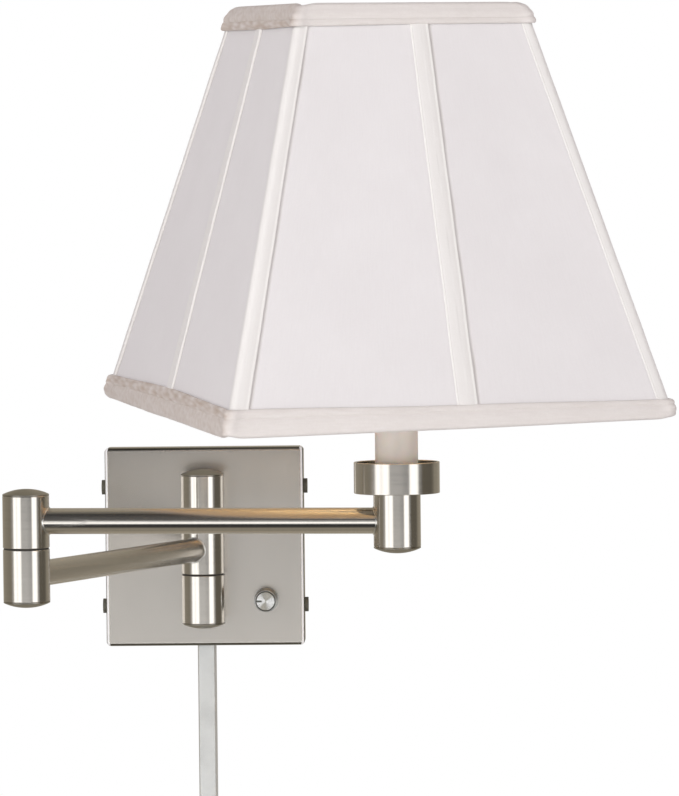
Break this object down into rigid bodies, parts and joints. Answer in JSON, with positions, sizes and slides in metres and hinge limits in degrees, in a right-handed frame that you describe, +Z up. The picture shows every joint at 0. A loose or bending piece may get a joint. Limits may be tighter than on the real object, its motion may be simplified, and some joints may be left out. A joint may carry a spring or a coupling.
{
  "type": "swing arm wall lamp",
  "caption": "Wall lamp with a square metal backplate, two folding swing arms, a cup and candle sleeve, a harp and a tapered square fabric shade; dimmer knob on the plate and a cord cover below.",
  "frame": {"origin": "centre of the backplate on the wall plane, midway between the bracket's two wall-screw slots", "axes": "+Z up; +Y into the wall, so the lamp stands out towards -Y; +X to the right seen from the front"},
  "size_m": [0.4057, 0.4401, 0.7144],
  "materials": {
    "brushed_nickel": "satin brushed nickel plate",
    "zinc_steel": "bright zinc plate",
    "dark_screw": "dark plated",
    "nylon": "natural nylon",
    "black_moulding": "moulded",
    "satin_cover": "satin silver",
    "white_moulding": "moulded",
    "spun_nickel": "spun bright nickel",
    "lead_jacket": "flexible jacket",
    "sleeve_plastic": "satin off-white",
    "harp_metal": "nickel plate",
    "socket_brass": "plain brass",
    "insulator_board": "pressed board",
    "bulb_cap": "plain",
    "bulb_glass": "frosted",
    "white_wire": "white enamel",
    "shade_cloth": "fine woven cloth",
    "lining_cloth": "smooth lining",
    "tape_cloth": "bias tape",
    "trim_cloth": "crepe trim"
  },
  "bodies": {
    "wall_unit": {"backplate": "brushed_nickel", "wall_bracket": "zinc_steel", "side_screws": "dark_screw", "wall_knuckle_top": "brushed_nickel", "wall_knuckle_bottom": "brushed_nickel", "wall_knuckle_caps": "brushed_nickel", "wall_pivot_tube": "zinc_steel", "wall_pivot_nuts": "zinc_steel", "wall_friction_washers": "nylon", "post_nipples": "zinc_steel", "post_collars": "brushed_nickel", "post_locknuts": "zinc_steel", "dimmer_body": "black_moulding", "dimmer_nut": "zinc_steel", "cord_cover_lid": "satin_cover", "cord_cover_base": "satin_cover", "wire_connectors": "white_moulding"},
    "knob": {"dimmer_shaft": "zinc_steel", "dimmer_knob": "spun_nickel", "knob_face": "spun_nickel"},
    "rear_arm": {"rear_knuckle": "brushed_nickel", "rear_arm_tube": "brushed_nickel", "elbow_lower": "brushed_nickel", "elbow_lower_cap": "brushed_nickel", "elbow_pivot_tube": "zinc_steel", "elbow_pivot_nuts": "zinc_steel", "elbow_friction_washer": "nylon", "rear_arm_lead": "lead_jacket"},
    "front_arm": {"elbow_upper": "brushed_nickel", "elbow_upper_cap": "brushed_nickel", "front_arm_tube": "brushed_nickel", "end_knuckle": "brushed_nickel", "end_knuckle_cap": "brushed_nickel", "cup": "brushed_nickel", "riser_nipple": "zinc_steel", "cup_nut": "zinc_steel", "candle_sleeve": "sleeve_plastic", "front_arm_lead": "lead_jacket", "harp_saddle": "harp_metal", "socket_cap": "socket_brass", "socket_shell": "socket_brass", "socket_insulator": "insulator_board", "socket_base": "black_moulding", "screw_shell": "socket_brass", "socket_contact": "socket_brass", "bulb_base": "bulb_cap", "bulb_glass": "bulb_glass", "harp": "harp_metal", "harp_ferrules": "harp_metal", "harp_stud": "harp_metal", "finial": "brushed_nickel"},
    "shade": {"spider": "harp_metal", "shade_top_ring": "white_wire", "shade_bottom_ring": "white_wire", "shade_ribs": "white_wire", "shade_cover": "shade_cloth", "shade_lining": "lining_cloth", "seam_tapes": "tape_cloth", "top_trim": "trim_cloth", "bottom_trim": "trim_cloth"}
  },
  "joints": [
    {"name": "rear_arm_swing", "type": "hinge", "parent": "wall_unit", "child": "rear_arm", "pos_m": [0, -0.038, 0], "axis": [0, 0, 1], "range_deg": [-65, 115]},
    {"name": "front_arm_swing", "type": "hinge", "parent": "rear_arm", "child": "front_arm", "pos_m": [-0.09661, -0.24518, 0.0167], "axis": [0, 0, -1], "range_deg": [-41, 259]},
    {"name": "shade_turn", "type": "hinge", "parent": "front_arm", "child": "shade", "pos_m": [0.12074, -0.27798, 0.3243], "axis": [0, -0.0523, 0.9986], "continuous": true},
    {"name": "dimmer_turn", "type": "hinge", "parent": "wall_unit", "child": "knob", "pos_m": [0.041, -0.025, -0.036], "axis": [0, 1, 0], "range_deg": [-60, 240]}
  ]
}
